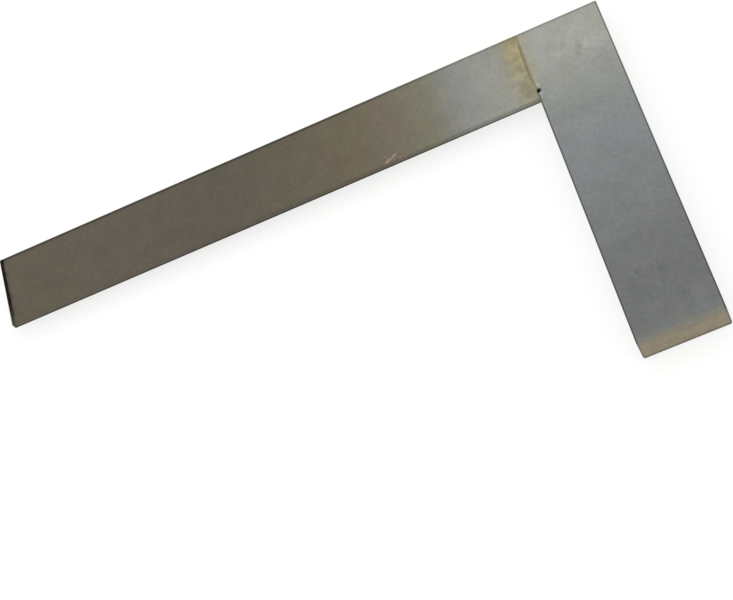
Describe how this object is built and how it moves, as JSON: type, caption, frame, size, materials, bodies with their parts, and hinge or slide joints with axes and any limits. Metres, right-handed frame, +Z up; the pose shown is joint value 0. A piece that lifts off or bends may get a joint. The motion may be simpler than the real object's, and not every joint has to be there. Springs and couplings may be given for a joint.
{
  "type": "engineer square",
  "caption": "All-steel engineer square: a thin ground blade brazed and pinned into the slotted end of a thicker rectangular stock, for testing right angles.",
  "frame": {"origin": "on the resting surface, under the middle of the whole outline", "axes": "+X along the blade from its tip towards the stock, +Y from the stock's free end towards the blade, +Z up off the side that the square lies on"},
  "size_m": [0.172, 0.096, 0.009],
  "materials": {
    "stock_steel": "surface ground, satin",
    "blade_steel": "hardened and ground, brownish grey, straw tint beside the joint",
    "braze_filler": "dull, ground flush",
    "pin_steel": "ground flush with the stock"
  },
  "bodies": {
    "root": {"stock": "stock_steel", "blade": "blade_steel", "braze": "braze_filler", "inner_pin": "pin_steel", "outer_pin": "pin_steel"}
  },
  "joints": []
}
